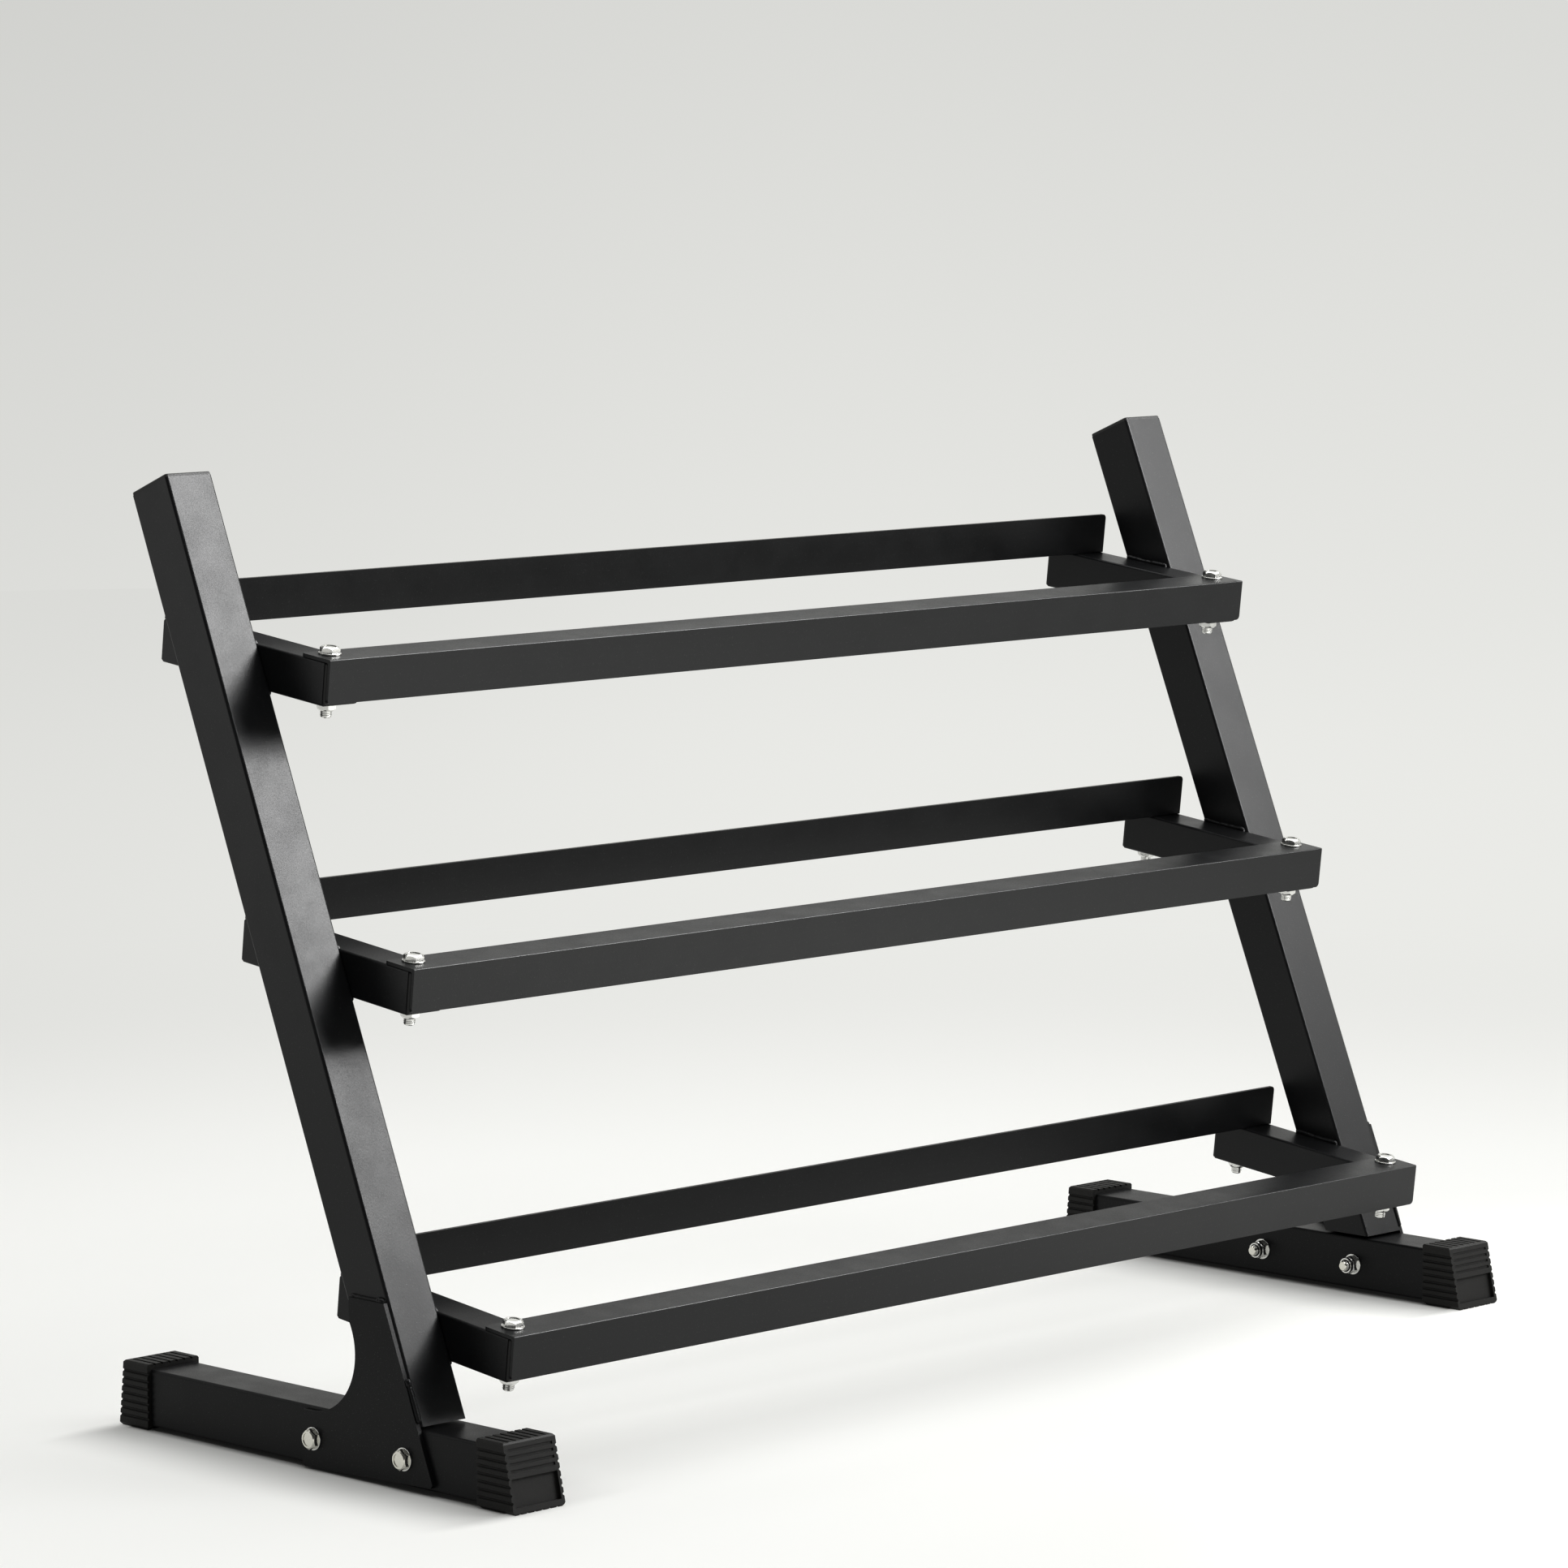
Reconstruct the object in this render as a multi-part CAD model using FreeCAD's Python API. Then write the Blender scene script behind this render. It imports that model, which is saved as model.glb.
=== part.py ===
import FreeCAD, Part
import math
import os

os.makedirs("parts", exist_ok=True)

# Three-tier dumbbell rack, all sizes in mm.
# Frame: X to the right, Y to the back, Z up, floor at z = 0, object centred in X and Y.

# Square tube of the uprights and the feet.
TUBE = 50.0
TUBE_WALL = 2.0
TUBE_R = 2.5
INNER_X = 581.0          # inner faces of the uprights and feet, and the ends of the rails
OUTER_X = INNER_X + TUBE

# Uprights: centre line meets the floor at AXIS_Y and leans to the back.
LEAN = 22.2
AXIS_Y = -133.5
UPRIGHT_BOTTOM_Z = 56.0
UPRIGHT_TUBE_TOP = 884.9  # measured along the centre line from the floor
PLUG_FLANGE = 3.0
TOP_PLUG_INSET = 0.3

# Feet and their rubber caps.
FOOT_Z0 = 3.5
FOOT_FRONT_Y = -235.0
FOOT_REAR_Y = 241.4
CAP_MOUTH_FRONT_Y = -209.0
CAP_MOUTH_REAR_Y = 215.4
CAP_W = 57.6
CAP_H = 58.3
CAP_TOP_LEN = 32.6
CAP_POCKET = 26.0
CAP_FLARE_FRONT = 12.4
CAP_FLARE_REAR = 6.0
CAP_CHAMFER = 3.0
SIDE_GROOVE_TOP = 9.0
SIDE_GROOVE_PITCH = 6.6
SIDE_GROOVES = 7
TOP_GROOVE_PITCH = 8.2
TOP_GROOVES = 6

# Shelves: arms and angle rails, tilted down to the front.
TILT = 6.7
CORNER_Z = {"bottom": 132.7, "middle": 426.7, "top": 678.5}
CORNER_AHEAD = 118.1      # front rail's corner ahead of the upright's centre line
ARM = 38.0
ARM_WALL = 2.0
ARM_R = 2.0
LEG = 38.0
LEG_T = 3.0
LEG_ROOT_R = 1.5
LEG_END_R = 4.0
SHELF_DEPTH = 221.8       # front rail's corner to the arm's rear end
ARM_START = 7.5
ARM_PLUG_INSET = 0.7
ARM_PLUG_DEPTH = 8.0

# Gusset plates on the outer faces.
PLATE_T = 4.0
PLATE_TOP_Z = 154.3
PLATE_SETBACK = 1.7
PLATE_TOP_W = 44.4
PLATE_ARC_Y = 130.1       # from the upright's centre line at the floor
PLATE_ARC_Z = 106.4
PLATE_ARC_R = 55.8
PLATE_ARC_START_Z = 133.7
PLATE_REAR_Y = 143.2
PLATE_LOW_FRONT_Z = 7.0
PLATE_LOW_REAR_Z = 1.5
WELD_R = 2.6

# Hexagon-head bolts of 3/8 inch (9.5 mm), washers and nuts.
SHANK_R = 4.75
HOLE_R = 5.25
HEAD_AF = 16.0
NUT_AF = 15.0
HEAD_H = 5.4
HEAD_CHAMFER = 0.8
HEAD_DISH = 0.6            # depth of the round recess in a head's top
RAIL_HEAD_DISH_R = 5.4
FOOT_HEAD_DISH_R = 5.7
THREAD_CHAMFER = 0.8
WASHER_R = 10.0
WASHER_T = 1.6
WASHER_EDGE_R = 0.4
RAIL_NUT_H = 5.4
RAIL_BOLT_LEN = 56.0
RAIL_BOLT_FRONT_Y = 23.0
RAIL_BOLT_REAR_Y = 205.5
FOOT_NUT_H = 7.0
FOOT_NUT_COLLAR = 3.0
FOOT_COLLAR_R = 7.2
FOOT_COLLAR_BORE_R = 6.0   # recess round the bolt in the collar's end
FOOT_COLLAR_BORE = 1.6
FOOT_BOLT_OUT = 4.5
FOOT_BOLT_Y = (13.5, 128.5)   # from the upright's centre line at the floor
FOOT_BOLT_Z = 27.0

V = FreeCAD.Vector
X_AXIS = V(1, 0, 0)
Y_AXIS = V(0, 1, 0)
Z_AXIS = V(0, 0, 1)
SIDES = {"left": -1, "right": 1}
TIERS = ("bottom", "middle", "top")


def save(name, shape):
    """Write one node's STEP file."""
    shape.exportStep("parts/" + name + ".step")


def box(x0, x1, y0, y1, z0, z1):
    """Axis-aligned box from its limits."""
    return Part.makeBox(x1 - x0, y1 - y0, z1 - z0, V(x0, y0, z0))


def prism(points, direction):
    """Extrude a closed polygon."""
    wire = Part.makePolygon(points + points[:1])
    return Part.Face(wire).extrude(direction)


def rounded_bar(width, height, radius, length):
    """Solid bar with rounded long edges, centred on the Z axis from z = 0."""
    bar = Part.makeBox(width, height, length, V(-width / 2, -height / 2, 0))
    edges = [e for e in bar.Edges if abs(e.Length - length) < 1e-6 and abs(e.tangentAt(0).z) > 0.9]
    return bar.makeFillet(radius, edges)


def square_tube(size, wall, radius, length):
    """Hollow square tube along Z from z = 0."""
    inner = size - 2 * wall
    core = rounded_bar(inner, inner, max(radius - wall, 0.5), length)
    return rounded_bar(size, size, radius, length).cut(core)


def moved(shape, origin, axis=X_AXIS, angle=0.0):
    """Copy of a shape, turned about an axis through the origin and then moved."""
    out = shape.copy()
    out.Placement = FreeCAD.Placement(origin, FreeCAD.Rotation(axis, angle)).multiply(out.Placement)
    return out


def lean_y(z):
    """Y of the uprights' centre line at height z."""
    return AXIS_Y + z * math.tan(math.radians(LEAN))


def on_upright(shape, side):
    """Place a shape built about the Z axis on an upright's centre line."""
    x = side * (INNER_X + TUBE / 2)
    return moved(shape, V(x, AXIS_Y, 0), X_AXIS, -LEAN)


def on_shelf(shape, tier):
    """Place a shape built in a shelf's own frame: origin on the front rail's corner, Y to the back."""
    z = CORNER_Z[tier]
    return moved(shape, V(0, lean_y(z) - CORNER_AHEAD, z), X_AXIS, TILT)


def hexagon(across_flats, height, chamfer):
    """Hexagonal bar along Z from z = 0 whose corners are chamfered at the top."""
    r = across_flats / math.sqrt(3)
    pts = [V(r * math.cos(math.radians(60 * i)), r * math.sin(math.radians(60 * i)), 0) for i in range(6)]
    bar = prism(pts, V(0, 0, height))
    top = across_flats / 2 - chamfer
    flare = Part.makeCone(top + height, top, height)
    return bar.common(flare)


def bolt(length, dish_r):
    """Bolt along Z: head above z = 0, shank below."""
    head = hexagon(HEAD_AF, HEAD_H, HEAD_CHAMFER)
    head = head.cut(Part.makeCylinder(dish_r, HEAD_DISH, V(0, 0, HEAD_H - HEAD_DISH)))
    shank = Part.makeCylinder(SHANK_R, length, V(0, 0, -length))
    ends = [e for e in shank.Edges if e.BoundBox.ZMax < -length + 1e-6]
    return head.fuse(shank.makeChamfer(THREAD_CHAMFER, ends)).removeSplitter()


def washer():
    """Flat washer from z = 0 up, its outer edges rounded."""
    ring = Part.makeCylinder(WASHER_R, WASHER_T)
    rims = [e for e in ring.Edges if e.Length > WASHER_R]
    ring = ring.makeFillet(WASHER_EDGE_R, rims)
    return ring.cut(Part.makeCylinder(SHANK_R + 0.25, WASHER_T))


def nut(height, collar):
    """Nut hanging below z = 0, with an optional locking collar under it."""
    body = hexagon(NUT_AF, height, HEAD_CHAMFER)
    if collar > 0:
        body = body.fuse(Part.makeCylinder(FOOT_COLLAR_R, height + collar))
        recess_z = height + collar - FOOT_COLLAR_BORE
        body = body.cut(Part.makeCylinder(FOOT_COLLAR_BORE_R, FOOT_COLLAR_BORE, V(0, 0, recess_z)))
    body = body.cut(Part.makeCylinder(SHANK_R, height + collar + 1))
    return moved(body, V(0, 0, 0), X_AXIS, 180).removeSplitter()


def angle_rail(up):
    """Angle rail in the shelf frame: one leg flat, one leg down at the front or up at the front."""
    t = LEG_T
    s = 1 if up else -1
    pts = [V(-INNER_X, 0, 0), V(-INNER_X, LEG, 0), V(-INNER_X, LEG, s * t)]
    pts += [V(-INNER_X, t, s * t), V(-INNER_X, t, s * LEG), V(-INNER_X, 0, s * LEG)]
    bar = prism(pts, V(2 * INNER_X, 0, 0))
    root = [e for e in bar.Edges if e.Length > 1000 and abs(e.CenterOfMass.y - t) < 1e-6
            and abs(e.CenterOfMass.z - s * t) < 1e-6]
    bar = bar.makeFillet(LEG_ROOT_R, root)
    corner = [e for e in bar.Edges if e.Length > 1000 and abs(e.CenterOfMass.y) < 1e-6
              and abs(e.CenterOfMass.z) < 1e-6]
    bar = bar.makeFillet(1.0, corner)
    tips = [e for e in bar.Edges if abs(e.Length - t) < 1e-6
            and (abs(e.CenterOfMass.z - s * LEG) < 1e-6 or abs(e.CenterOfMass.y - LEG) < 1e-6)]
    return bar.makeFillet(LEG_END_R, tips)


def drill_z(shape, x, y, z0, z1):
    """Vertical bolt hole in the shelf frame."""
    return shape.cut(Part.makeCylinder(HOLE_R, z1 - z0, V(x, y, z0)))


def rail(front):
    """Front or rear rail with its four bolt holes' worth of positions at the two arms."""
    if front:
        out = angle_rail(False)
        y_hole = RAIL_BOLT_FRONT_Y
    else:
        out = moved(angle_rail(True), V(0, SHELF_DEPTH - LEG, -LEG_T))
        y_hole = RAIL_BOLT_REAR_Y
    for side in (-1, 1):
        out = drill_z(out, side * (INNER_X - ARM / 2), y_hole, -LEG_T - 1, 1)
    return out


def arm(side):
    """Arm tube in the shelf frame, under the rails' flat legs."""
    length = SHELF_DEPTH - PLUG_FLANGE - ARM_START
    tube = moved(square_tube(ARM, ARM_WALL, ARM_R, length), V(0, 0, 0), X_AXIS, -90)
    x = side * (INNER_X - ARM / 2)
    tube = moved(tube, V(x, ARM_START, -LEG_T - ARM / 2))
    for y in (RAIL_BOLT_FRONT_Y, RAIL_BOLT_REAR_Y):
        tube = drill_z(tube, x, y, -LEG_T - ARM - 1, -LEG_T + 1)
    return tube


def tube_plug(size, wall, radius, depth, inset):
    """Push-in end plug: flange from z = 0 up, set in from the tube's faces, hollow stem below."""
    width = size - 2 * inset
    flange = rounded_bar(width, width, radius, PLUG_FLANGE)
    rim = [e for e in flange.Edges if e.BoundBox.ZMin > PLUG_FLANGE - 1e-6]
    flange = flange.makeFillet(1.2, rim)
    inner = size - 2 * wall
    stem = square_tube(inner - 0.4, 2.0, 0.8, depth)
    return flange.fuse(moved(stem, V(0, 0, -depth))).removeSplitter()


def arm_plug(side, front):
    """End plug of an arm in the shelf frame."""
    plug = tube_plug(ARM, ARM_WALL, ARM_R, ARM_PLUG_DEPTH, ARM_PLUG_INSET)
    x = side * (INNER_X - ARM / 2)
    z = -LEG_T - ARM / 2
    if front:
        return moved(plug, V(x, ARM_START, z), X_AXIS, 90)
    return moved(plug, V(x, SHELF_DEPTH - PLUG_FLANGE, z), X_AXIS, -90)


def upright(side):
    """Leaning square tube, cut level just above the foot."""
    tube = square_tube(TUBE, TUBE_WALL, TUBE_R, UPRIGHT_TUBE_TOP + 60)
    tube = on_upright(moved(tube, V(0, 0, -60)), side)
    floor_cut = box(side * 606 - 60, side * 606 + 60, AXIS_Y - 200, AXIS_Y + 200, -100, UPRIGHT_BOTTOM_Z)
    return tube.cut(floor_cut)


def arm_welds(side, tier):
    """Fillet weld runs where an arm's top and bottom meet the upright's inner face."""
    runs = []
    for z in (-LEG_T, -LEG_T - ARM):
        runs.append(Part.makeCylinder(WELD_R, 200, V(side * INNER_X, 30, z), Y_AXIS))
    bar = on_shelf(runs[0].fuse(runs[1]), tier)
    reach = rounded_bar(TUBE, TUBE - 5, TUBE_R, UPRIGHT_TUBE_TOP)
    window = moved(on_upright(reach, side), V(-side * (TUBE - 10), 0, 0))
    bar = bar.common(window)
    own_arm = box(side * (INNER_X - ARM / 2) - ARM / 2, side * (INNER_X - ARM / 2) + ARM / 2, 0, 250,
                  -LEG_T - ARM, -LEG_T)
    bar = bar.cut(on_shelf(own_arm, tier))
    beyond = box(min(side * INNER_X, side * (INNER_X + 30)), max(side * INNER_X, side * (INNER_X + 30)),
                 -400, 400, 0, 900)
    return bar.cut(beyond)


def plate_outline():
    """Gusset plate outline as edges in the Y-Z plane, from the top front corner round the back."""
    lean = math.tan(math.radians(LEAN))
    half = TUBE / 2 / math.cos(math.radians(LEAN))
    top_y = PLATE_TOP_Z * lean - half + PLATE_SETBACK
    low_y = top_y - (PLATE_TOP_Z - PLATE_LOW_FRONT_Z - 3) * lean
    start_y = PLATE_ARC_Y - math.sqrt(PLATE_ARC_R ** 2 - (PLATE_ARC_START_Z - PLATE_ARC_Z) ** 2)
    diagonal = PLATE_ARC_R * math.sqrt(0.5)
    ledge_z = PLATE_ARC_Z - PLATE_ARC_R

    def at(y, z):
        return V(0, AXIS_Y + y, z)

    def line(a, b):
        return Part.makeLine(at(*a), at(*b))

    a = (top_y, PLATE_TOP_Z)
    b = (top_y + PLATE_TOP_W, PLATE_TOP_Z)
    c = (start_y, PLATE_ARC_START_Z)
    mid = (PLATE_ARC_Y - diagonal, PLATE_ARC_Z - diagonal)
    d = (PLATE_ARC_Y, ledge_z)
    e = (PLATE_REAR_Y - 2, ledge_z)
    f = (PLATE_REAR_Y, ledge_z - 2)
    g = (PLATE_REAR_Y, PLATE_LOW_REAR_Z + 3)
    h = (PLATE_REAR_Y - 3, PLATE_LOW_REAR_Z)
    i = (low_y + 2.5, PLATE_LOW_FRONT_Z)
    j = (low_y, PLATE_LOW_FRONT_Z + 3)
    arc = Part.Arc(at(*c), at(*mid), at(*d)).toShape()
    edges = [line(a, b), line(b, c), arc, line(d, e), line(e, f), line(f, g)]
    edges += [line(g, h), line(h, i), line(i, j), line(j, a)]
    return edges, a, b


def gusset_plate(side):
    """Plate on the outer faces of upright and foot, with its weld runs."""
    edges, front, rear = plate_outline()
    x = side * OUTER_X
    plate = Part.Face(Part.Wire(edges)).extrude(V(side * PLATE_T, 0, 0))
    plate.translate(V(x, 0, 0))
    for y in FOOT_BOLT_Y:
        hole = Part.makeCylinder(HOLE_R, 3 * PLATE_T, V(x - side * PLATE_T, AXIS_Y + y, FOOT_BOLT_Z),
                                 V(side, 0, 0))
        plate = plate.cut(hole)
    run = front[0] + AXIS_Y + 1
    weld = Part.makeCylinder(WELD_R, PLATE_TOP_W - 2, V(x, run, PLATE_TOP_Z), Y_AXIS)
    lean = math.radians(LEAN)
    low_z = 60.0
    low_y = run - 1 - (PLATE_TOP_Z - low_z) * math.tan(lean)
    drop = V(0, math.sin(lean), math.cos(lean))
    weld = weld.fuse(Part.makeCylinder(WELD_R, 32, V(x, low_y, low_z), drop))
    tube_side = box(min(x, x - side * 20), max(x, x - side * 20), -300, 300, 0, 300)
    return plate.fuse(weld.cut(tube_side)).removeSplitter()


def foot_tube(side):
    """Floor tube running front to back."""
    tube = moved(square_tube(TUBE, TUBE_WALL, TUBE_R, FOOT_REAR_Y - FOOT_FRONT_Y), V(0, 0, 0), X_AXIS, -90)
    x = side * (INNER_X + TUBE / 2)
    tube = moved(tube, V(x, FOOT_FRONT_Y, FOOT_Z0 + TUBE / 2))
    for y in FOOT_BOLT_Y:
        start = V(x - TUBE / 2 - 2, AXIS_Y + y, FOOT_BOLT_Z)
        tube = tube.cut(Part.makeCylinder(HOLE_R, TUBE + 4, start, X_AXIS))
    return tube


def side_groove_points(x, outward):
    """Points up one side of the cap's section, with a notch at every groove."""
    pts = []
    for i in range(SIDE_GROOVES):
        z = CAP_H - SIDE_GROOVE_TOP - SIDE_GROOVE_PITCH * (SIDE_GROOVES - 1 - i)
        pts += [(x, z - 1.5), (x - outward * 0.7, z - 1.0), (x - outward * 1.4, z - 0.5)]
        pts += [(x - outward * 1.4, z + 0.5), (x - outward * 0.7, z + 1.0), (x, z + 1.5)]
    return pts


def bottom_groove_points():
    """Points along the cap's sole from right to left, with a notch at every groove."""
    pts = []
    for i in range(TOP_GROOVES):
        x = TOP_GROOVE_PITCH * ((TOP_GROOVES - 1) / 2 - i)
        pts += [(x + 1.4, 0), (x + 0.9, 1.6), (x - 0.9, 1.6), (x - 1.4, 0)]
    return pts


def cap_section():
    """Cross-section of a rubber cap in X-Z as a closed list of points."""
    w = CAP_W / 2
    c = CAP_CHAMFER
    left = side_groove_points(-w, -1)
    right = side_groove_points(w, 1)
    pts = [(-w + c, 0), (-w, c)] + left + [(-w, CAP_H - 1.5), (-w + 1.5, CAP_H)]
    pts += [(w - 1.5, CAP_H), (w, CAP_H - 1.5)] + right[::-1] + [(w, c), (w - c, 0)]
    return pts + bottom_groove_points()


def rubber_cap(flare):
    """Ribbed rubber cap facing -Y with its mouth at y = 0."""
    w = CAP_W / 2
    side_view = [V(-w - 1, 0, 4), V(-w - 1, -4, 0), V(-w - 1, -CAP_TOP_LEN - flare + 1, 0)]
    side_view += [V(-w - 1, -CAP_TOP_LEN - flare, 1.5), V(-w - 1, -CAP_TOP_LEN, CAP_H - 1.5)]
    side_view += [V(-w - 1, -CAP_TOP_LEN + 1.5, CAP_H), V(-w - 1, 0, CAP_H)]
    body = prism(side_view, V(CAP_W + 2, 0, 0))
    section = prism([V(x, 1, z) for x, z in cap_section()], V(0, -CAP_TOP_LEN - flare - 2, 0))
    body = body.common(section)
    pocket = rounded_bar(TUBE, TUBE, TUBE_R, CAP_POCKET + 1)
    body = body.cut(moved(pocket, V(0, 1, FOOT_Z0 + TUBE / 2), X_AXIS, 90))
    for i in range(TOP_GROOVES):
        x = TOP_GROOVE_PITCH * ((TOP_GROOVES - 1) / 2 - i)
        groove = box(x - 1.3, x + 1.3, -CAP_TOP_LEN + 4, 1, CAP_H - 1.8, CAP_H + 1)
        groove = groove.fuse(Part.makeCylinder(1.3, 5, V(x, -CAP_TOP_LEN + 4, CAP_H - 1.8)))
        body = body.cut(groove)
    slope = math.degrees(math.atan2(flare, CAP_H))
    face_cuts = [box(-w + 3.4, w - 3.4, -2, 3.0, -53.4, -29.9)]
    for i in range(4):
        z = -6.4 - 5.8 * i
        face_cuts.append(box(-w + 4.2, w - 4.2, -2, 1.2, z - 1.2, z + 1.2))
    for cut in face_cuts:
        body = body.cut(moved(cut, V(0, -CAP_TOP_LEN, CAP_H), X_AXIS, -slope))
    return body


def foot_cap(side, front):
    """Rubber cap on one end of a foot."""
    x = side * (INNER_X + TUBE / 2)
    if front:
        return moved(rubber_cap(CAP_FLARE_FRONT), V(x, CAP_MOUTH_FRONT_Y, 0))
    return moved(rubber_cap(CAP_FLARE_REAR), V(x, CAP_MOUTH_REAR_Y, 0), Z_AXIS, 180)


def rail_fasteners(piece, z):
    """Copies of a fastener at all twelve rail bolts, at height z in the shelf frame."""
    out = []
    for tier in TIERS:
        for side in (-1, 1):
            for y in (RAIL_BOLT_FRONT_Y, RAIL_BOLT_REAR_Y):
                x = side * (INNER_X - ARM / 2)
                out.append(on_shelf(moved(piece, V(x, y, z)), tier))
    return out


def foot_fasteners(piece, offset):
    """Copies of a fastener at the four foot bolts; offset runs outwards from the foot's inner face."""
    out = []
    for side in (-1, 1):
        turned = moved(piece, V(0, 0, 0), Y_AXIS, side * 90)
        for y in FOOT_BOLT_Y:
            out.append(moved(turned, V(side * (INNER_X + offset), AXIS_Y + y, FOOT_BOLT_Z)))
    return out


for name, side in SIDES.items():
    save("foot_tube_" + name, foot_tube(side))
    save("foot_cap_" + name + "_front", foot_cap(side, True))
    save("foot_cap_" + name + "_rear", foot_cap(side, False))
    save("upright_" + name, upright(side))
    top_plug = tube_plug(TUBE, TUBE_WALL, TUBE_R, 14.0, TOP_PLUG_INSET)
    save("upright_plug_" + name, on_upright(moved(top_plug, V(0, 0, UPRIGHT_TUBE_TOP)), side))
    save("gusset_plate_" + name, gusset_plate(side))
    for tier in TIERS:
        tube = on_shelf(arm(side), tier)
        save("arm_" + name + "_" + tier, tube.fuse(arm_welds(side, tier)).removeSplitter())
        save("arm_plug_" + name + "_" + tier + "_front", on_shelf(arm_plug(side, True), tier))
        save("arm_plug_" + name + "_" + tier + "_rear", on_shelf(arm_plug(side, False), tier))

for tier in TIERS:
    save("front_rail_" + tier, on_shelf(rail(True), tier))
    save("rear_rail_" + tier, on_shelf(rail(False), tier))

UNDER_ARM = -LEG_T - ARM
save("rail_bolts", Part.makeCompound(rail_fasteners(bolt(RAIL_BOLT_LEN, RAIL_HEAD_DISH_R), WASHER_T)))
UPPER_WASHERS = rail_fasteners(washer(), 0.0)
LOWER_WASHERS = rail_fasteners(washer(), UNDER_ARM - WASHER_T)
save("rail_washers", Part.makeCompound(UPPER_WASHERS + LOWER_WASHERS))
save("rail_nuts", Part.makeCompound(rail_fasteners(nut(RAIL_NUT_H, 0.0), UNDER_ARM - WASHER_T)))

HEAD_SEAT = TUBE + PLATE_T + WASHER_T
FOOT_BOLT_LEN = HEAD_SEAT + WASHER_T + FOOT_NUT_H + FOOT_NUT_COLLAR + FOOT_BOLT_OUT
save("foot_bolts", Part.makeCompound(foot_fasteners(bolt(FOOT_BOLT_LEN, FOOT_HEAD_DISH_R), HEAD_SEAT)))
OUTER_WASHERS = foot_fasteners(washer(), TUBE + PLATE_T)
INNER_WASHERS = foot_fasteners(washer(), -WASHER_T)
save("foot_washers", Part.makeCompound(OUTER_WASHERS + INNER_WASHERS))
save("foot_nuts", Part.makeCompound(foot_fasteners(nut(FOOT_NUT_H, FOOT_NUT_COLLAR), -WASHER_T)))
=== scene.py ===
"""Looks of the three-tier dumbbell rack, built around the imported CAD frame."""

import functools
import math
import random

import bmesh
import bpy
from mathutils import Matrix, Vector


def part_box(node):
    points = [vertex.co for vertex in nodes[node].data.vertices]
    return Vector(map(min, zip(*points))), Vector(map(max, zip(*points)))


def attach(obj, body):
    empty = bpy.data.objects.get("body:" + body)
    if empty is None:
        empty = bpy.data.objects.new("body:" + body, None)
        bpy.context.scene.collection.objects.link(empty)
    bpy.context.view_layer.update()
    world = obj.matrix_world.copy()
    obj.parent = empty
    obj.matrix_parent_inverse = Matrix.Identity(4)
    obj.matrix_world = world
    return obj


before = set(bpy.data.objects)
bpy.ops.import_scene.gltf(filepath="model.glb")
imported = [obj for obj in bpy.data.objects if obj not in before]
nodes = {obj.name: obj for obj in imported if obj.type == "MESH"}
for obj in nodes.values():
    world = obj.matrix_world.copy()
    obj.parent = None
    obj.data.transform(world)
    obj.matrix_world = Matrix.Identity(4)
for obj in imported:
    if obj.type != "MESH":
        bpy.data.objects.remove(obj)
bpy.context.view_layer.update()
scene = bpy.context.scene
random.seed(7)

MM = 0.001


# ---------------------------------------------------------------- camera

LENS = 145.44                                   # mm, in front of a 36 mm wide sensor
SENSOR = 36.0
CAMERA_AT = Vector((-4.0420, -3.9990, 1.1623))
CAMERA_AHEAD = Vector((0.7004, 0.7052, -0.1106)).normalized()
CAMERA_ROLL = math.radians(-0.16)
CONTRAST = 1.3                                  # a product photograph is steeper than the plain view


def add_camera():
    """Long lens in front of the rack's left end, slightly above its top."""
    data = bpy.data.cameras.new("camera")
    data.lens = LENS
    data.sensor_width = SENSOR
    data.clip_start, data.clip_end = 0.1, 60.0
    camera = bpy.data.objects.new("camera", data)
    scene.collection.objects.link(camera)
    right = CAMERA_AHEAD.cross(Vector((0, 0, 1))).normalized()
    up = right.cross(CAMERA_AHEAD)
    right, up = (right * math.cos(CAMERA_ROLL) + up * math.sin(CAMERA_ROLL),
                 up * math.cos(CAMERA_ROLL) - right * math.sin(CAMERA_ROLL))
    turn = Matrix((right, up, -CAMERA_AHEAD)).transposed().to_4x4()
    camera.matrix_world = Matrix.Translation(CAMERA_AT) @ turn
    scene.camera = camera


add_camera()
scene.view_settings.view_transform = "Standard"
scene.view_settings.look = "None"
scene.view_settings.gamma = 1 / CONTRAST


# ---------------------------------------------------------------- node helpers

def is_socket(value):
    return isinstance(value, bpy.types.NodeSocket)


def colour(value):
    """A colour socket as it is, or the three numbers of a colour with full alpha."""
    return value if is_socket(value) else (*value, 1.0)


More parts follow.
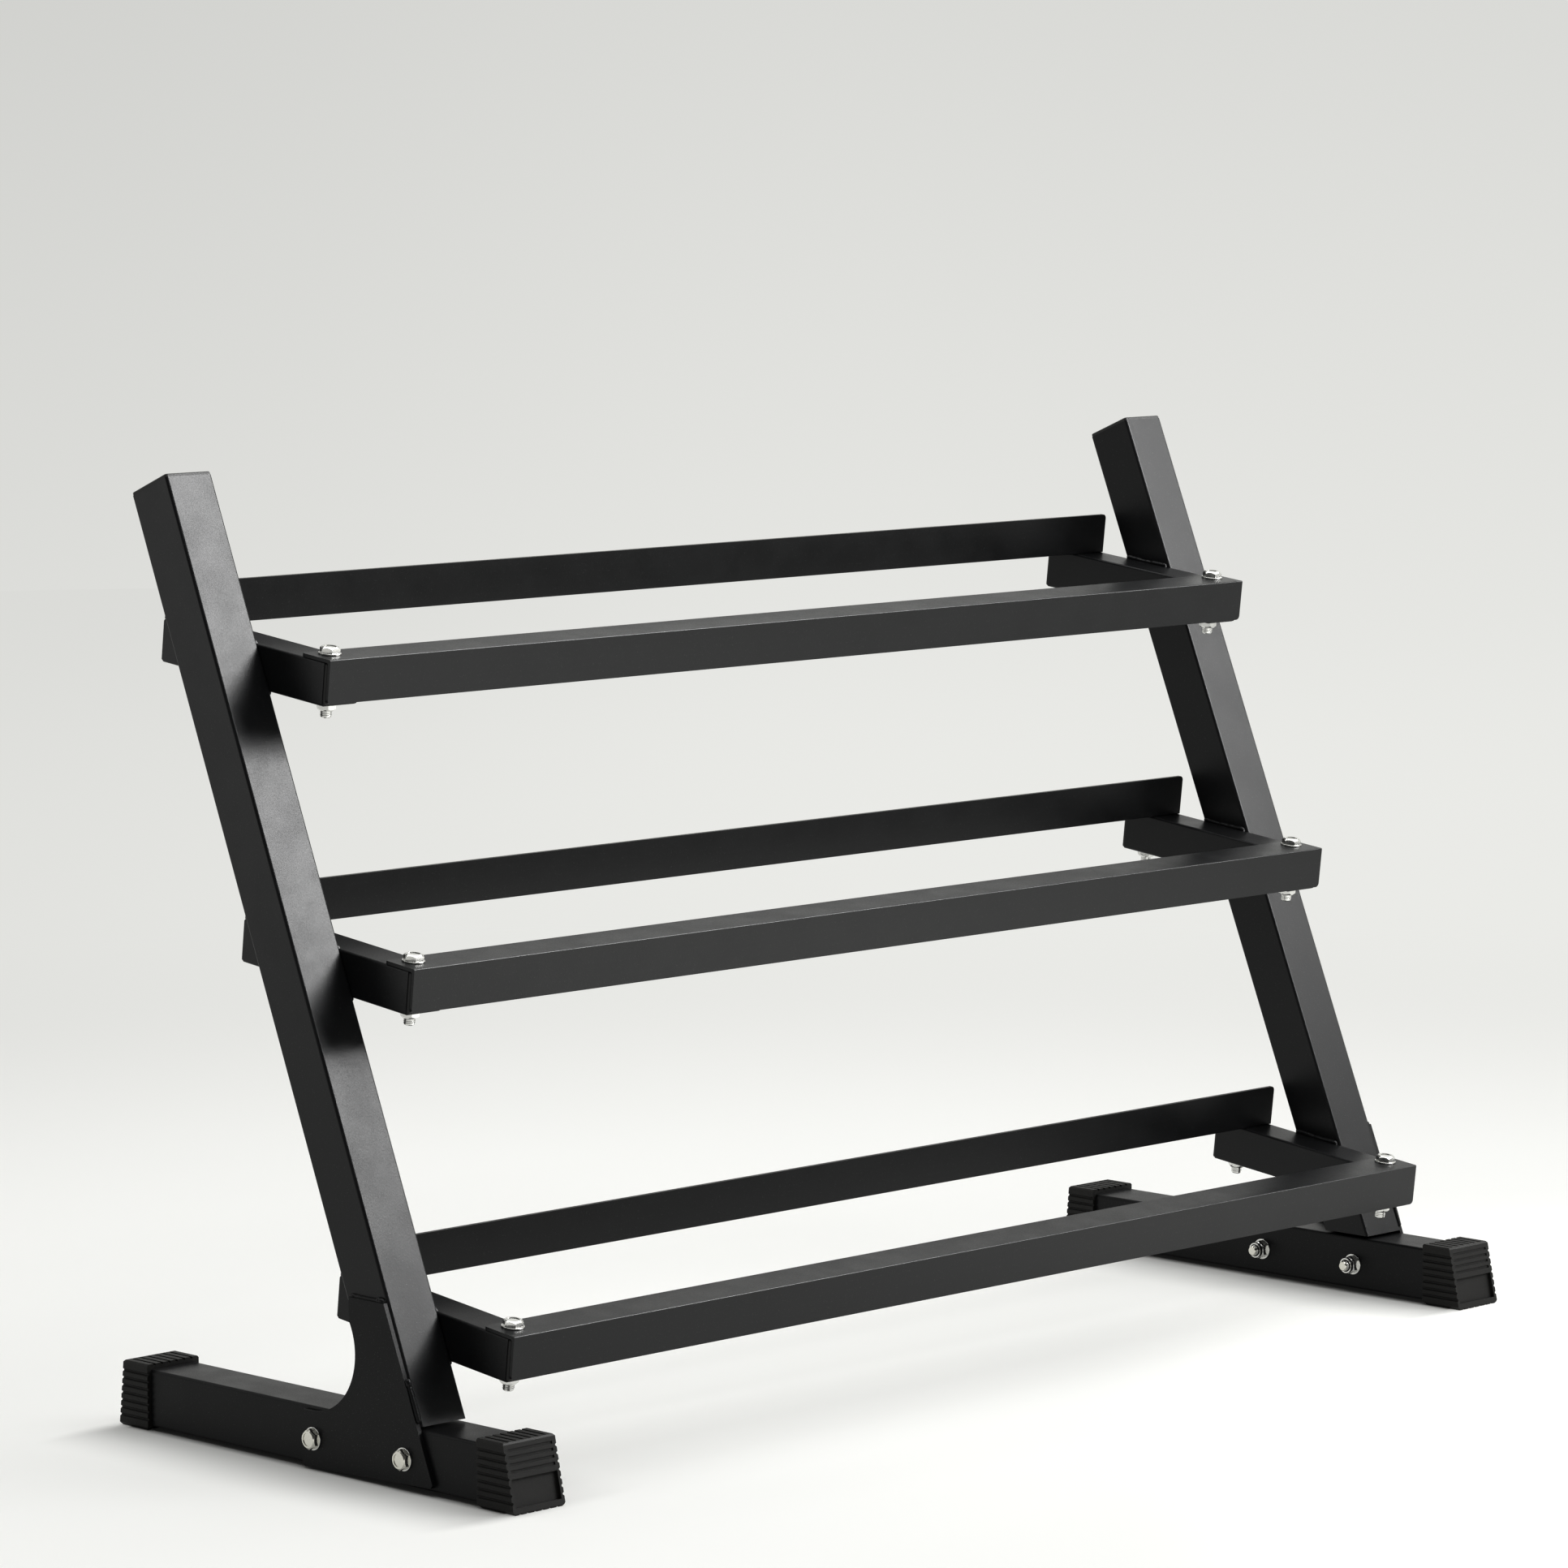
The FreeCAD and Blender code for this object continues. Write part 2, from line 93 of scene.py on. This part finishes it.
class Tree:
    """Short calls for building a node tree; all but node and put return the new node's output."""

    def __init__(self, node_tree):
        self.nodes = node_tree.nodes
        self.links = node_tree.links
        self.nodes.clear()

    def node(self, kind, **settings):
        node = self.nodes.new(kind)
        for key, value in settings.items():
            setattr(node, key, value)
        return node

    def put(self, node, socket, value):
        """Link a socket to an input, or set the input's own value."""
        if is_socket(value):
            self.links.new(value, node.inputs[socket])
        else:
            node.inputs[socket].default_value = value

    def maths(self, operation, a, b=0.0):
        node = self.node("ShaderNodeMath", operation=operation)
        self.put(node, 0, a)
        self.put(node, 1, b)
        return node.outputs[0]

    def product(self, *values):
        return functools.reduce(lambda a, b: self.maths("MULTIPLY", a, b), values)

    def total(self, *values):
        return functools.reduce(lambda a, b: self.maths("ADD", a, b), values)

    def ramp(self, value, low, high, to_low, to_high, curve="SMOOTHSTEP"):
        """Maps low..high to to_low..to_high and stays level outside."""
        node = self.node("ShaderNodeMapRange", interpolation_type=curve)
        self.put(node, "Value", value)
        self.put(node, "From Min", low)
        self.put(node, "From Max", high)
        self.put(node, "To Min", to_low)
        self.put(node, "To Max", to_high)
        return node.outputs["Result"]

    def noise(self, vector, scale, detail=2.0, roughness=0.5):
        node = self.node("ShaderNodeTexNoise")
        self.put(node, "Vector", vector)
        self.put(node, "Scale", scale)
        self.put(node, "Detail", detail)
        self.put(node, "Roughness", roughness)
        return node.outputs["Fac"]

    def mix(self, factor, a, b, blend="MIX"):
        """Blend of two colours."""
        node = self.node("ShaderNodeMix", data_type="RGBA", blend_type=blend)
        self.put(node, 0, factor)
        self.put(node, 6, colour(a))
        self.put(node, 7, colour(b))
        return node.outputs[2]

    def bump(self, height, distance, strength, below=None):
        """Normal of a height field, on top of another bump's normal if there is one."""
        node = self.node("ShaderNodeBump")
        self.put(node, "Strength", strength)
        self.put(node, "Distance", distance)
        self.put(node, "Height", height)
        if below is not None:
            self.put(node, "Normal", below)
        return node.outputs["Normal"]

    def along(self, vector, direction):
        """Length of a vector along a fixed direction."""
        node = self.node("ShaderNodeVectorMath", operation="DOT_PRODUCT")
        self.put(node, 0, vector)
        self.put(node, 1, direction)
        return node.outputs["Value"]

    def length(self, vector):
        node = self.node("ShaderNodeVectorMath", operation="LENGTH")
        self.put(node, 0, vector)
        return node.outputs["Value"]


def new_material(name):
    """Material with its tree, Principled shader, output node and object coordinates."""
    mat = bpy.data.materials.new(name)
    mat.use_nodes = True
    t = Tree(mat.node_tree)
    shader = t.node("ShaderNodeBsdfPrincipled")
    out = t.node("ShaderNodeOutputMaterial")
    t.put(out, 0, shader.outputs[0])
    coords = t.node("ShaderNodeTexCoord").outputs["Object"]
    return mat, t, shader, out, coords


# ---------------------------------------------------------------- materials

def powder_coat(name, tint, rough, ior=1.43):
    """Satin black powder coat: fine orange peel, faint clouding and a few pale specks."""
    mat, t, shader, _, co = new_material(name)
    cloud = t.noise(co, 26.0, 3.0, 0.6)
    fine = t.noise(co, 900.0, 2.0, 0.55)
    peel = t.noise(co, 560.0, 2.0, 0.5)
    speck = t.ramp(t.noise(co, 1300.0, 0.0), 0.76, 0.82, 0.0, 1.0)
    dark = tuple(c * 0.80 for c in tint)
    light = tuple(c * 1.20 for c in tint)
    pale = (0.14, 0.14, 0.138)
    t.put(shader, "Base Color", t.mix(t.product(speck, 0.3), t.mix(cloud, dark, light), pale))
    t.put(shader, "Roughness", t.total(t.ramp(cloud, 0.3, 0.7, rough - 0.02, rough + 0.035),
                                       t.ramp(fine, 0.3, 0.7, -0.035, 0.035)))
    t.put(shader, "IOR", ior)
    t.put(shader, "Normal", t.bump(peel, 0.08 * MM, 0.5, t.bump(fine, 0.04 * MM, 0.4)))
    return mat


def rubber():
    """Warm matte black moulded rubber with a pitted skin and faint dusty patches."""
    mat, t, shader, _, co = new_material("cap_rubber")
    cloud = t.noise(co, 60.0, 4.0, 0.6)
    pits = t.noise(co, 1100.0, 3.0, 0.6)
    dust = t.ramp(t.noise(co, 190.0, 5.0, 0.7), 0.55, 0.8, 0.0, 1.0)
    clean = t.mix(cloud, (0.0080, 0.0077, 0.0070), (0.0150, 0.0143, 0.0130))
    t.put(shader, "Base Color", t.mix(t.product(dust, 0.3), clean, (0.060, 0.057, 0.052)))
    t.put(shader, "Roughness", t.ramp(pits, 0.3, 0.7, 0.46, 0.60))
    t.put(shader, "IOR", 1.42)
    t.put(shader, "Normal", t.bump(pits, 0.12 * MM, 0.7))
    return mat


def plug_plastic():
    """Black moulded plastic of the tube plugs and the lock nuts' rings, finely eroded."""
    mat, t, shader, _, co = new_material("plug_plastic")
    cloud = t.noise(co, 80.0, 3.0)
    grain = t.noise(co, 1400.0, 2.0)
    t.put(shader, "Base Color", t.mix(cloud, (0.024, 0.024, 0.024), (0.036, 0.036, 0.036)))
    t.put(shader, "Roughness", t.ramp(grain, 0.3, 0.7, 0.40, 0.52))
    t.put(shader, "IOR", 1.47)
    t.put(shader, "Normal", t.bump(grain, 0.06 * MM, 0.6))
    return mat


def zinc(name, tint):
    """Bright zinc plate: faint clouding over fine and broad unevenness."""
    mat, t, shader, _, co = new_material(name)
    cloud = t.noise(co, 210.0, 4.0, 0.6)
    fine = t.noise(co, 1500.0, 3.0, 0.6)
    dull = tuple(c * 0.80 for c in tint)
    t.put(shader, "Base Color", t.mix(cloud, dull, tint))
    t.put(shader, "Metallic", 1.0)
    t.put(shader, "Roughness", t.ramp(cloud, 0.3, 0.75, 0.15, 0.27))
    t.put(shader, "Normal", t.bump(fine, 0.03 * MM, 0.5, t.bump(cloud, 0.12 * MM, 0.5)))
    return mat


STEEL = powder_coat("black_powder_coat", (0.0080, 0.0084, 0.0092), 0.33)
# shaded copy of the same coat for the feet and gusset plates: its lower IOR paints weaker reflections onto
# them
STEEL_SHADED_FOOT_COPY = powder_coat("black_powder_coat_foot_shaded_copy", (0.0080, 0.0083, 0.0090), 0.35, 1.35)
# lit copy of the same coat for the front rails: its higher IOR and slightly bluer tint paint brighter,
# cooler reflections onto them
STEEL_LIT_FRONT_COPY = powder_coat("black_powder_coat_front_lit_copy", (0.0080, 0.0087, 0.0096), 0.33, 1.54)
RUBBER = rubber()
PLASTIC = plug_plastic()
ZINC = zinc("zinc_plate", (0.80, 0.80, 0.78))
ZINC_WARM = zinc("zinc_plate_warm", (0.80, 0.79, 0.73))


def material_for(name):
    if name.startswith("foot_cap"):
        return RUBBER
    if "_plug_" in name:
        return PLASTIC
    if name == "foot_bolts":
        return ZINC_WARM
    if name.endswith(("_bolts", "_washers", "_nuts")):
        return ZINC
    # feet and gusset plates take the shaded copy of the coat
    if name.startswith(("foot_tube", "gusset_plate")):
        return STEEL_SHADED_FOOT_COPY
    # front rails take the lit copy of the coat
    if name.startswith("front_rail"):
        return STEEL_LIT_FRONT_COPY
    return STEEL


for name, node in nodes.items():
    if not node.material_slots:
        node.data.materials.append(None)
    for slot in node.material_slots:
        slot.material = material_for(name)


# ---------------------------------------------------------------- the rack's own lines

LEAN = math.radians(22.2)               # uprights, back from vertical
TILT = math.radians(6.7)                # shelves, down towards the front
AXIS_Y = -133.5 * MM                    # where the uprights' centre line meets the floor
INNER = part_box("upright_right")[0].x    # faces of the uprights and feet
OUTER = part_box("upright_right")[1].x
LEAN_UP = Vector((0, math.sin(LEAN), math.cos(LEAN)))
LEAN_BACK = Vector((0, math.cos(LEAN), -math.sin(LEAN)))
SHELF_BACK = Vector((0, math.cos(TILT), math.sin(TILT)))
SHELF_UP = Vector((0, -math.sin(TILT), math.cos(TILT)))
CORNER_Z = {"bottom": 132.7 * MM, "middle": 426.7 * MM, "top": 678.5 * MM}  # front rails' top corners
CORNER_AHEAD = 118.1 * MM               # those corners ahead of the uprights' centre line, level
RAIL_T = 3 * MM
ARM = 38 * MM


def upright_point(along_axis, back):
    """Point on the uprights' centre plane: distance up the axis, offset to the back."""
    return Vector((0, AXIS_Y, 0)) + LEAN_UP * along_axis + LEAN_BACK * back


def shelf_point(tier, back, up):
    """Point in a shelf's own frame, from the front rail's corner."""
    z = CORNER_Z[tier]
    corner = Vector((0, AXIS_Y + z * math.tan(LEAN) - CORNER_AHEAD, z))
    return corner + SHELF_BACK * back + SHELF_UP * up


def on_side(point, x):
    return Vector((x, point.y, point.z))


# ---------------------------------------------------------------- mesh helpers

def finish_piece(name, verts, faces, mat, slot):
    """Make a mesh piece from points and faces and hand it to the frame."""
    mesh = bpy.data.meshes.new(name)
    mesh.from_pydata([tuple(v) for v in verts], [], faces)
    mesh.update()
    for polygon in mesh.polygons:
        polygon.use_smooth = True
    mesh.materials.append(mat)
    piece = bpy.data.objects.new(name, mesh)
    scene.collection.objects.link(piece)
    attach(piece, "root")


def joined(parts):
    """One list of points and faces from several."""
    verts, faces = [], []
    for part_verts, part_faces in parts:
        base = len(verts)
        verts += part_verts
        faces += [tuple(i + base for i in face) for face in part_faces]
    return verts, faces


def tube_along(points, radii, sides, across):
    """Closed tube through points with its own radius at each; across is a fixed side direction."""
    verts, faces = [], []
    n = len(points)
    for i, (point, radius) in enumerate(zip(points, radii)):
        ahead = (points[min(i + 1, n - 1)] - points[max(i - 1, 0)]).normalized()
        u = (across - ahead * across.dot(ahead)).normalized()
        v = ahead.cross(u)
        for k in range(sides):
            a = 2 * math.pi * k / sides
            verts.append(point + u * (radius * math.cos(a)) + v * (radius * math.sin(a)))
    for i in range(n - 1):
        for k in range(sides):
            a, b = i * sides + k, i * sides + (k + 1) % sides
            faces.append((a, b, b + sides, a + sides))
    faces.append(tuple(range(sides))[::-1])
    faces.append(tuple(range((n - 1) * sides, n * sides)))
    return verts, faces


def torus(centre, axis, major, minor):
    """Closed ring of round section, round an axis along x."""
    u = Vector((0, 1, 0))
    v = axis.cross(u)
    around, sides = 40, 10
    verts, faces = [], []
    for i in range(around):
        a = 2 * math.pi * i / around
        out = u * math.cos(a) + v * math.sin(a)
        for k in range(sides):
            b = 2 * math.pi * k / sides
            verts.append(centre + out * (major + minor * math.cos(b)) + axis * (minor * math.sin(b)))
    for i in range(around):
        for k in range(sides):
            p, q = i * sides, (i + 1) % around * sides
            faces.append((p + k, q + k, q + (k + 1) % sides, p + (k + 1) % sides))
    return verts, faces


# ---------------------------------------------------------------- weld runs

WELD_STEP = 0.45 * MM       # between a bead's rings of points
WELD_RIPPLE = 2.7 * MM      # between the scales of a bead
WELD_LUMP = 4 * MM          # between the random thick and thin places
WELD_TIP = 3.0 * MM         # over which a bead's ends swell to full thickness
WELD_OFF = 0.9 * MM         # centre of a bead off the faces that it joins
PLATE_TOP_Z = 154.3 * MM    # gusset plate's top edge at the front
PLATE_AHEAD = 25.3 * MM     # plate's front edge ahead of the upright's centre line, level
TOP_RUN = 41 * MM           # run on the plate's top edge: length and bead
TOP_BEAD_R = 1.6 * MM
FRONT_RUN = 37 * MM         # run on the plate's front edge: length, height of its low end and bead
FRONT_RUN_Z = 59 * MM
FRONT_BEAD_R = 2.1 * MM
ARM_BEAD_R = 2.4 * MM
ARM_RUN_HALF = 22 * MM      # runs on the arms end this far from the upright's centre plane


def weld_bead(start, end, radius, across):
    """Rippled weld run between two points: overlapping scales, slightly uneven."""
    length = (end - start).length
    steps = max(12, round(length / WELD_STEP))
    phase = random.uniform(0, 6.28)
    lumps = [random.uniform(-1, 1) for _ in range(round(length / WELD_LUMP) + 3)]
    points, radii = [], []
    for i in range(steps + 1):
        share = i / steps
        d = share * length
        ripple = abs(math.sin(math.pi * d / WELD_RIPPLE + phase))
        k = int(d / WELD_LUMP)
        ease = 0.5 - 0.5 * math.cos(math.pi * (d / WELD_LUMP - k))
        lump = lumps[k] * (1 - ease) + lumps[k + 1] * ease
        tip = min(1.0, 0.45 + d / WELD_TIP, 0.45 + (length - d) / WELD_TIP)
        radii.append(radius * tip * (0.95 + 0.045 * ripple + 0.09 * lump))
        drift = 0.3 * MM * math.sin(d / (8.3 * MM) + 1.7 * phase) + 0.2 * MM * lump
        points.append(start.lerp(end, share) + across * drift)
    return tube_along(points, radii, 12, across)


def add_gusset_welds(side, label):
    """Runs along the plate's top edge and up the lower part of its front edge, with thicker ends."""
    x = side * (OUTER + WELD_OFF)
    up = Vector((0, 0, 1))
    front_y = AXIS_Y + PLATE_TOP_Z * math.tan(LEAN) - PLATE_AHEAD
    front = Vector((x, front_y + 2.5 * MM, PLATE_TOP_Z + 0.6 * MM))
    rear = front + Vector((0, TOP_RUN, 0))
    front_lump = front + Vector((0, 9 * MM, 0.3 * MM))
    rear_lump = rear - Vector((0, 6 * MM, 0))
    low_y = front_y - (PLATE_TOP_Z - FRONT_RUN_Z) * math.tan(LEAN) - WELD_OFF
    low = Vector((x, low_y, FRONT_RUN_Z))
    high = low + LEAN_UP * FRONT_RUN
    high_lump = high - LEAN_UP * (6 * MM)
    high_end = high + LEAN_UP * (1 * MM)
    runs = [weld_bead(front, rear, TOP_BEAD_R, up),
            weld_bead(front, front_lump, 2.7 * MM, up),
            weld_bead(rear_lump, rear, 2.2 * MM, up),
            weld_bead(low, high, FRONT_BEAD_R, LEAN_BACK),
            weld_bead(high_lump, high_end, 2.9 * MM, LEAN_BACK)]
    finish_piece("gusset_weld_" + label, *joined(runs), STEEL, "black_steel")


def add_arm_welds(side, label, tier):
    """Runs along the top and bottom of an arm where it meets the upright's inner face."""
    x = side * (INNER - 1.0 * MM)
    runs = []
    for up in (-RAIL_T + WELD_OFF, -RAIL_T - ARM - WELD_OFF):
        line = shelf_point(tier, 0, up)
        ends = []
        for reach in (-ARM_RUN_HALF, ARM_RUN_HALF):
            # where the run's line crosses the plane at this reach, parallel to the upright
            back = (upright_point(0, reach) - line).dot(LEAN_BACK) / SHELF_BACK.dot(LEAN_BACK)
            ends.append(on_side(line + SHELF_BACK * back, x))
        runs.append(weld_bead(*ends, ARM_BEAD_R, SHELF_UP))
    finish_piece(f"arm_weld_{label}_{tier}", *joined(runs), STEEL, "black_steel")


# ---------------------------------------------------------------- bolt ends

SHANK_R = 4.75 * MM
PITCH = 1.5 * MM
WASHER_T = 1.6 * MM
RAIL_STACK = RAIL_T + ARM + WASHER_T + 5.4 * MM      # rail's flat leg, arm, washer and nut
RAIL_BOLT_X = 562 * MM
RAIL_BOLT_BACK = (23.0 * MM, 205.5 * MM)             # from the front rail's corner
RAIL_BOLT_OUT = 6.4 * MM
FOOT_STACK = WASHER_T + (7 + 3) * MM                 # washer, nut and its locking collar
FOOT_BOLT_BACK = (13.5 * MM, 128.5 * MM)             # from where the upright's axis meets the floor
FOOT_BOLT_Z = 27 * MM
FOOT_BOLT_OUT = 4.5 * MM
COLLAR_RECESS = 1.6 * MM
RING_SECTION_R = 0.6 * MM                            # plastic ring in the lock nut's collar
RING_MID_R = SHANK_R + 0.62 * MM
RING_PROUD = 0.5 * MM                                # ring's centre above the recess's bottom
THREAD_INSET = 0.5 * MM
BOLT_END = 1.3 * MM                                  # plain chamfered end, without thread


def thread(start, direction, length):
    """Helical ridge round a bolt's end, fading in and out over half a turn."""
    side = Vector((1, 0, 0)) if abs(direction.x) < 0.5 else Vector((0, 1, 0))
    u = (side - direction * side.dot(direction)).normalized()
    v = direction.cross(u)
    turns = length / PITCH
    steps = max(24, round(turns * 28))
    points, radii = [], []
    for i in range(steps + 1):
        a = 2 * math.pi * turns * i / steps
        fade = min(1.0, i / 14, (steps - i) / 14)
        radius = SHANK_R - (0.25 - 0.1 * fade) * MM
        points.append(start + direction * (length * i / steps)
                      + (u * math.cos(a) + v * math.sin(a)) * radius)
        radii.append((0.18 + 0.34 * fade) * MM)
    return tube_along(points, radii, 6, direction)


def add_rail_bolt_threads():
    """Threads on the bolts' lower ends, which stand out of the nuts under the arms."""
    runs = []
    for tier in CORNER_Z:
        for side in (-1, 1):
            for back in RAIL_BOLT_BACK:
                start = on_side(shelf_point(tier, back, -RAIL_STACK - THREAD_INSET), side * RAIL_BOLT_X)
                runs.append(thread(start, -SHELF_UP, RAIL_BOLT_OUT - THREAD_INSET - BOLT_END))
    finish_piece("rail_bolt_threads", *joined(runs), ZINC, "zinc_steel")


def add_foot_bolt_ends():
    """Threads and the lock nuts' black rings on the inner sides of the feet."""
    runs, rings = [], []
    for side in (-1, 1):
        inwards = Vector((-side, 0, 0))
        for back in FOOT_BOLT_BACK:
            face = Vector((side * (INNER - FOOT_STACK), AXIS_Y + back, FOOT_BOLT_Z))
            runs.append(thread(face, inwards, FOOT_BOLT_OUT - BOLT_END))
            ring = face - inwards * (COLLAR_RECESS - RING_PROUD)
            rings.append(torus(ring, inwards, RING_MID_R, RING_SECTION_R))
    finish_piece("foot_bolt_threads", *joined(runs), ZINC, "zinc_steel")
    finish_piece("lock_nut_rings", *joined(rings), PLASTIC, "black_plastic")


for side, label in ((-1, "left"), (1, "right")):
    add_gusset_welds(side, label)
    for tier in CORNER_Z:
        add_arm_welds(side, label, tier)
add_rail_bolt_threads()
add_foot_bolt_ends()


# ---------------------------------------------------------------- floor

BACKDROP = (0.846, 0.848, 0.826)
TO_BACK = (0.704, 0.710, 0.0)       # level direction from the camera through the rack
TO_RIGHT = (0.710, -0.704, 0.0)
FLOOR_R = 9.0
FOOT_X = (INNER + OUTER) / 2
FOOT_HALF_WIDTH = 24 * MM           # just inside the tubes' sides
FOOT_HALF_LENGTH = 240 * MM
END_FALLOFF = 4.0                   # the painted shade ends this much sooner past the ends than beside the tubes
CONTACT = 12 * MM                   # reach of the painted contact shadow, a dark line right under the tubes
SHADE = 110 * MM                    # reach of the soft painted shade
SIDE_CHANGE = 30 * MM               # half the width over which the painted shade changes side to side


def past(t, value, limit):
    """How far a value's size is over a limit, or 0."""
    return t.maths("MAXIMUM", t.maths("SUBTRACT", t.maths("ABSOLUTE", value), limit), 0.0)


def painted_foot_shade(t, co):
    """Painted shade on the floor's glow close round the two feet: a factor below 1, lower on the side away
    from the key light.
    """
    x = t.along(co, (1, 0, 0))
    y = t.along(co, (0, 1, 0))
    outwards = t.maths("SUBTRACT", t.maths("ABSOLUTE", x), FOOT_X)
    beside = past(t, outwards, FOOT_HALF_WIDTH)
    beyond = t.product(past(t, y, FOOT_HALF_LENGTH), END_FALLOFF)
    gap = t.maths("SQRT", t.total(t.product(beside, beside), t.product(beyond, beyond)))
    to_light = t.product(outwards, t.maths("SIGN", x))
    depth = t.ramp(to_light, -SIDE_CHANGE, SIDE_CHANGE, 0.42, 0.85)
    return t.product(t.ramp(gap, 0.0, CONTACT, 0.05, 1.0), t.ramp(gap, 0.0, SHADE, depth, 1.0))


def floor_glow(t, co, radius):
    """Strength of the floor's glow: level, with a painted bright patch of light at the front right and
    painted shade at the feet.
    """
    across = t.along(co, TO_RIGHT)
    # painted shade: a little dimmer at the left, and far out the tone of the backdrop
    level = t.product(t.ramp(radius, 3.0, FLOOR_R, 1.0, 0.98, "LINEAR"),
                      t.ramp(across, -1.6, 0.2, 0.925, 1.0),
                      t.ramp(radius, 1.5, 3.5, 1.0, 1.022),
                      t.ramp(radius, 4.5, 8.8, 1.0, 0.979))
    # painted light: a bright patch right of the rack, fading to the back and far to the right
    painted_light_pool = t.product(t.ramp(across, 0.2, 1.0, 0.0, 1.4),
                     t.ramp(t.along(co, TO_BACK), -0.1, 0.9, 1.0, 0.0),
                     t.ramp(across, 1.2, 2.4, 1.0, 0.25))
    # painted light: a slight lift under the rack and round it
    painted_lift = t.total(t.ramp(radius, 0.9, 2.4, 0.05, 0.0), t.ramp(radius, 0.25, 0.8, 0.11, 0.0))
    return t.product(t.total(level, painted_light_pool, painted_lift), painted_foot_shade(t, co))


def floor_material():
    """Pale floor that turns into pure glow far out, where it meets the backdrop's tone; close to the rack
    it is partly glow too, which paints light into the shadows there.
    """
    mat, t, shader, out, co = new_material("studio_floor")
    radius = t.length(co)
    grain = t.noise(co, 3.0, 2.0)
    t.put(shader, "Base Color", t.mix(grain, (0.875, 0.875, 0.865), (0.89, 0.89, 0.88)))
    t.put(shader, "Roughness", 0.9)
    t.put(shader, "Specular IOR Level", 0.1)
    glow = t.node("ShaderNodeEmission")
    t.put(glow, "Color", colour(BACKDROP))
    t.put(glow, "Strength", floor_glow(t, co, radius))
    both = t.node("ShaderNodeMixShader")
    # share of glow: 0.6 close to the rack paints light into the real shadows there, rising to 1 far out
    t.put(both, 0, t.ramp(radius, 0.9, 3.0, 0.6, 1.0))
    t.put(both, 1, shader.outputs[0])
    t.put(both, 2, glow.outputs[0])
    t.put(out, 0, both.outputs[0])
    return mat


def add_floor():
    mesh = bpy.data.meshes.new("studio_floor")
    bm = bmesh.new()
    bmesh.ops.create_circle(bm, cap_ends=True, radius=FLOOR_R, segments=96)
    bm.to_mesh(mesh)
    bm.free()
    mesh.materials.append(floor_material())
    floor = bpy.data.objects.new("studio_floor", mesh)
    scene.collection.objects.link(floor)


# ---------------------------------------------------------------- world and lights

# grey levels by the height of the view direction, from -1 straight down to 1 straight up
BEHIND = ((-0.0788, 0.98), (0.0098, 0.90), (0.07, 0.85), (0.14, 0.95),
          (0.22, 1.25), (0.36, 1.25), (0.55, 0.55), (1.0, 0.40))
AHEAD = ((-0.0788, 0.98), (0.0098, 0.90), (0.07, 0.75), (0.14, 0.22),
         (0.22, 0.12), (0.60, 0.12), (1.0, 0.40))


def level_ramp(t, height, stops):
    """Grey level by the height of a direction, from (height, level) pairs."""
    low, high = stops[0][0], stops[-1][0]
    ramp = t.node("ShaderNodeValToRGB")
    t.put(ramp, "Fac", t.ramp(height, low, high, 0.0, 1.0, "LINEAR"))
    elements = ramp.color_ramp.elements
    while len(elements) < len(stops):
        elements.new(0.5)
    for element, (at, level) in zip(elements, stops):
        element.position = (at - low) / (high - low)
        element.color = (level, level, level, 1.0)
    return ramp.outputs["Color"]


def add_world():
    """Backdrop that darkens upwards; the studio is dark above the horizon in front."""
    world = bpy.data.worlds.new("studio")
    scene.world = world
    world.use_nodes = True
    t = Tree(world.node_tree)
    co = t.node("ShaderNodeTexCoord").outputs["Generated"]
    height = t.along(co, (0, 0, 1))
    to_back = t.ramp(t.along(co, TO_BACK), -0.25, 0.25, 0.0, 1.0)
    grey = t.mix(to_back, level_ramp(t, height, AHEAD), level_ramp(t, height, BEHIND))
    background = t.node("ShaderNodeBackground")
    t.put(background, "Color", t.mix(1.0, grey, BACKDROP, "MULTIPLY"))
    t.put(background, "Strength", t.ramp(t.along(co, TO_RIGHT), -0.14, 0.02, 0.935, 1.0))
    t.put(t.node("ShaderNodeOutputWorld"), 0, background.outputs[0])


def add_light(name, place, aim, size, radiance, diffuse=True, only=()):
    """Rectangular softbox with a given radiance, for all objects or only for the named ones."""
    width, height = size
    data = bpy.data.lights.new(name, "AREA")
    data.shape = "RECTANGLE"
    data.size, data.size_y = width, height
    data.energy = radiance * math.pi * width * height
    light = bpy.data.objects.new(name, data)
    scene.collection.objects.link(light)
    light.location = place
    light.rotation_euler = (Vector(aim) - Vector(place)).to_track_quat("-Z", "Y").to_euler()
    light.visible_camera = False
    light.visible_diffuse = diffuse
    if only:
        group = bpy.data.collections.new(name + "_receivers")
        for node in only:
            group.objects.link(nodes[node])
        light.light_linking.receiver_collection = group


add_floor()
add_world()
# the key light is at the front right; the lights with diffuse=False show only in reflections
add_light("key", place=(1.93, -2.46, 2.60), aim=(-0.6, 0.0, 0.62), size=(2.2, 1.9), radiance=3.5)
add_light("key_gloss", place=(1.90, -2.43, 2.57), aim=(-0.6, 0.0, 0.62), size=(2.2, 1.9), radiance=11.0,
          diffuse=False)
add_light("key_side", place=(3.54, -2.10, 2.45), aim=(0.6, 0.0, 0.6), size=(1.3, 1.9), radiance=3.3,
          diffuse=False)
add_light("top", place=(0.3, -0.2, 3.5), aim=(0.3, -0.2, 0.0), size=(5.0, 5.0), radiance=2.1)
add_light("edge_gloss", place=(2.45, -1.00, 3.00), aim=(0.0, 0.0, 0.4), size=(1.3, 1.3), radiance=4.0,
          diffuse=False)
add_light("left_sheen", place=(-2.20, 1.80, 0.60), aim=(-0.63, 0.0, 0.5), size=(1.4, 1.4), radiance=0.55,
          diffuse=False, only=("upright_left", "arm_left_bottom", "arm_left_middle", "arm_left_top"))
add_light("rear_fill", place=(-2.6, 3.0, 2.2), aim=(0.0, 0.0, 0.4), size=(1.6, 1.2), radiance=1.0)
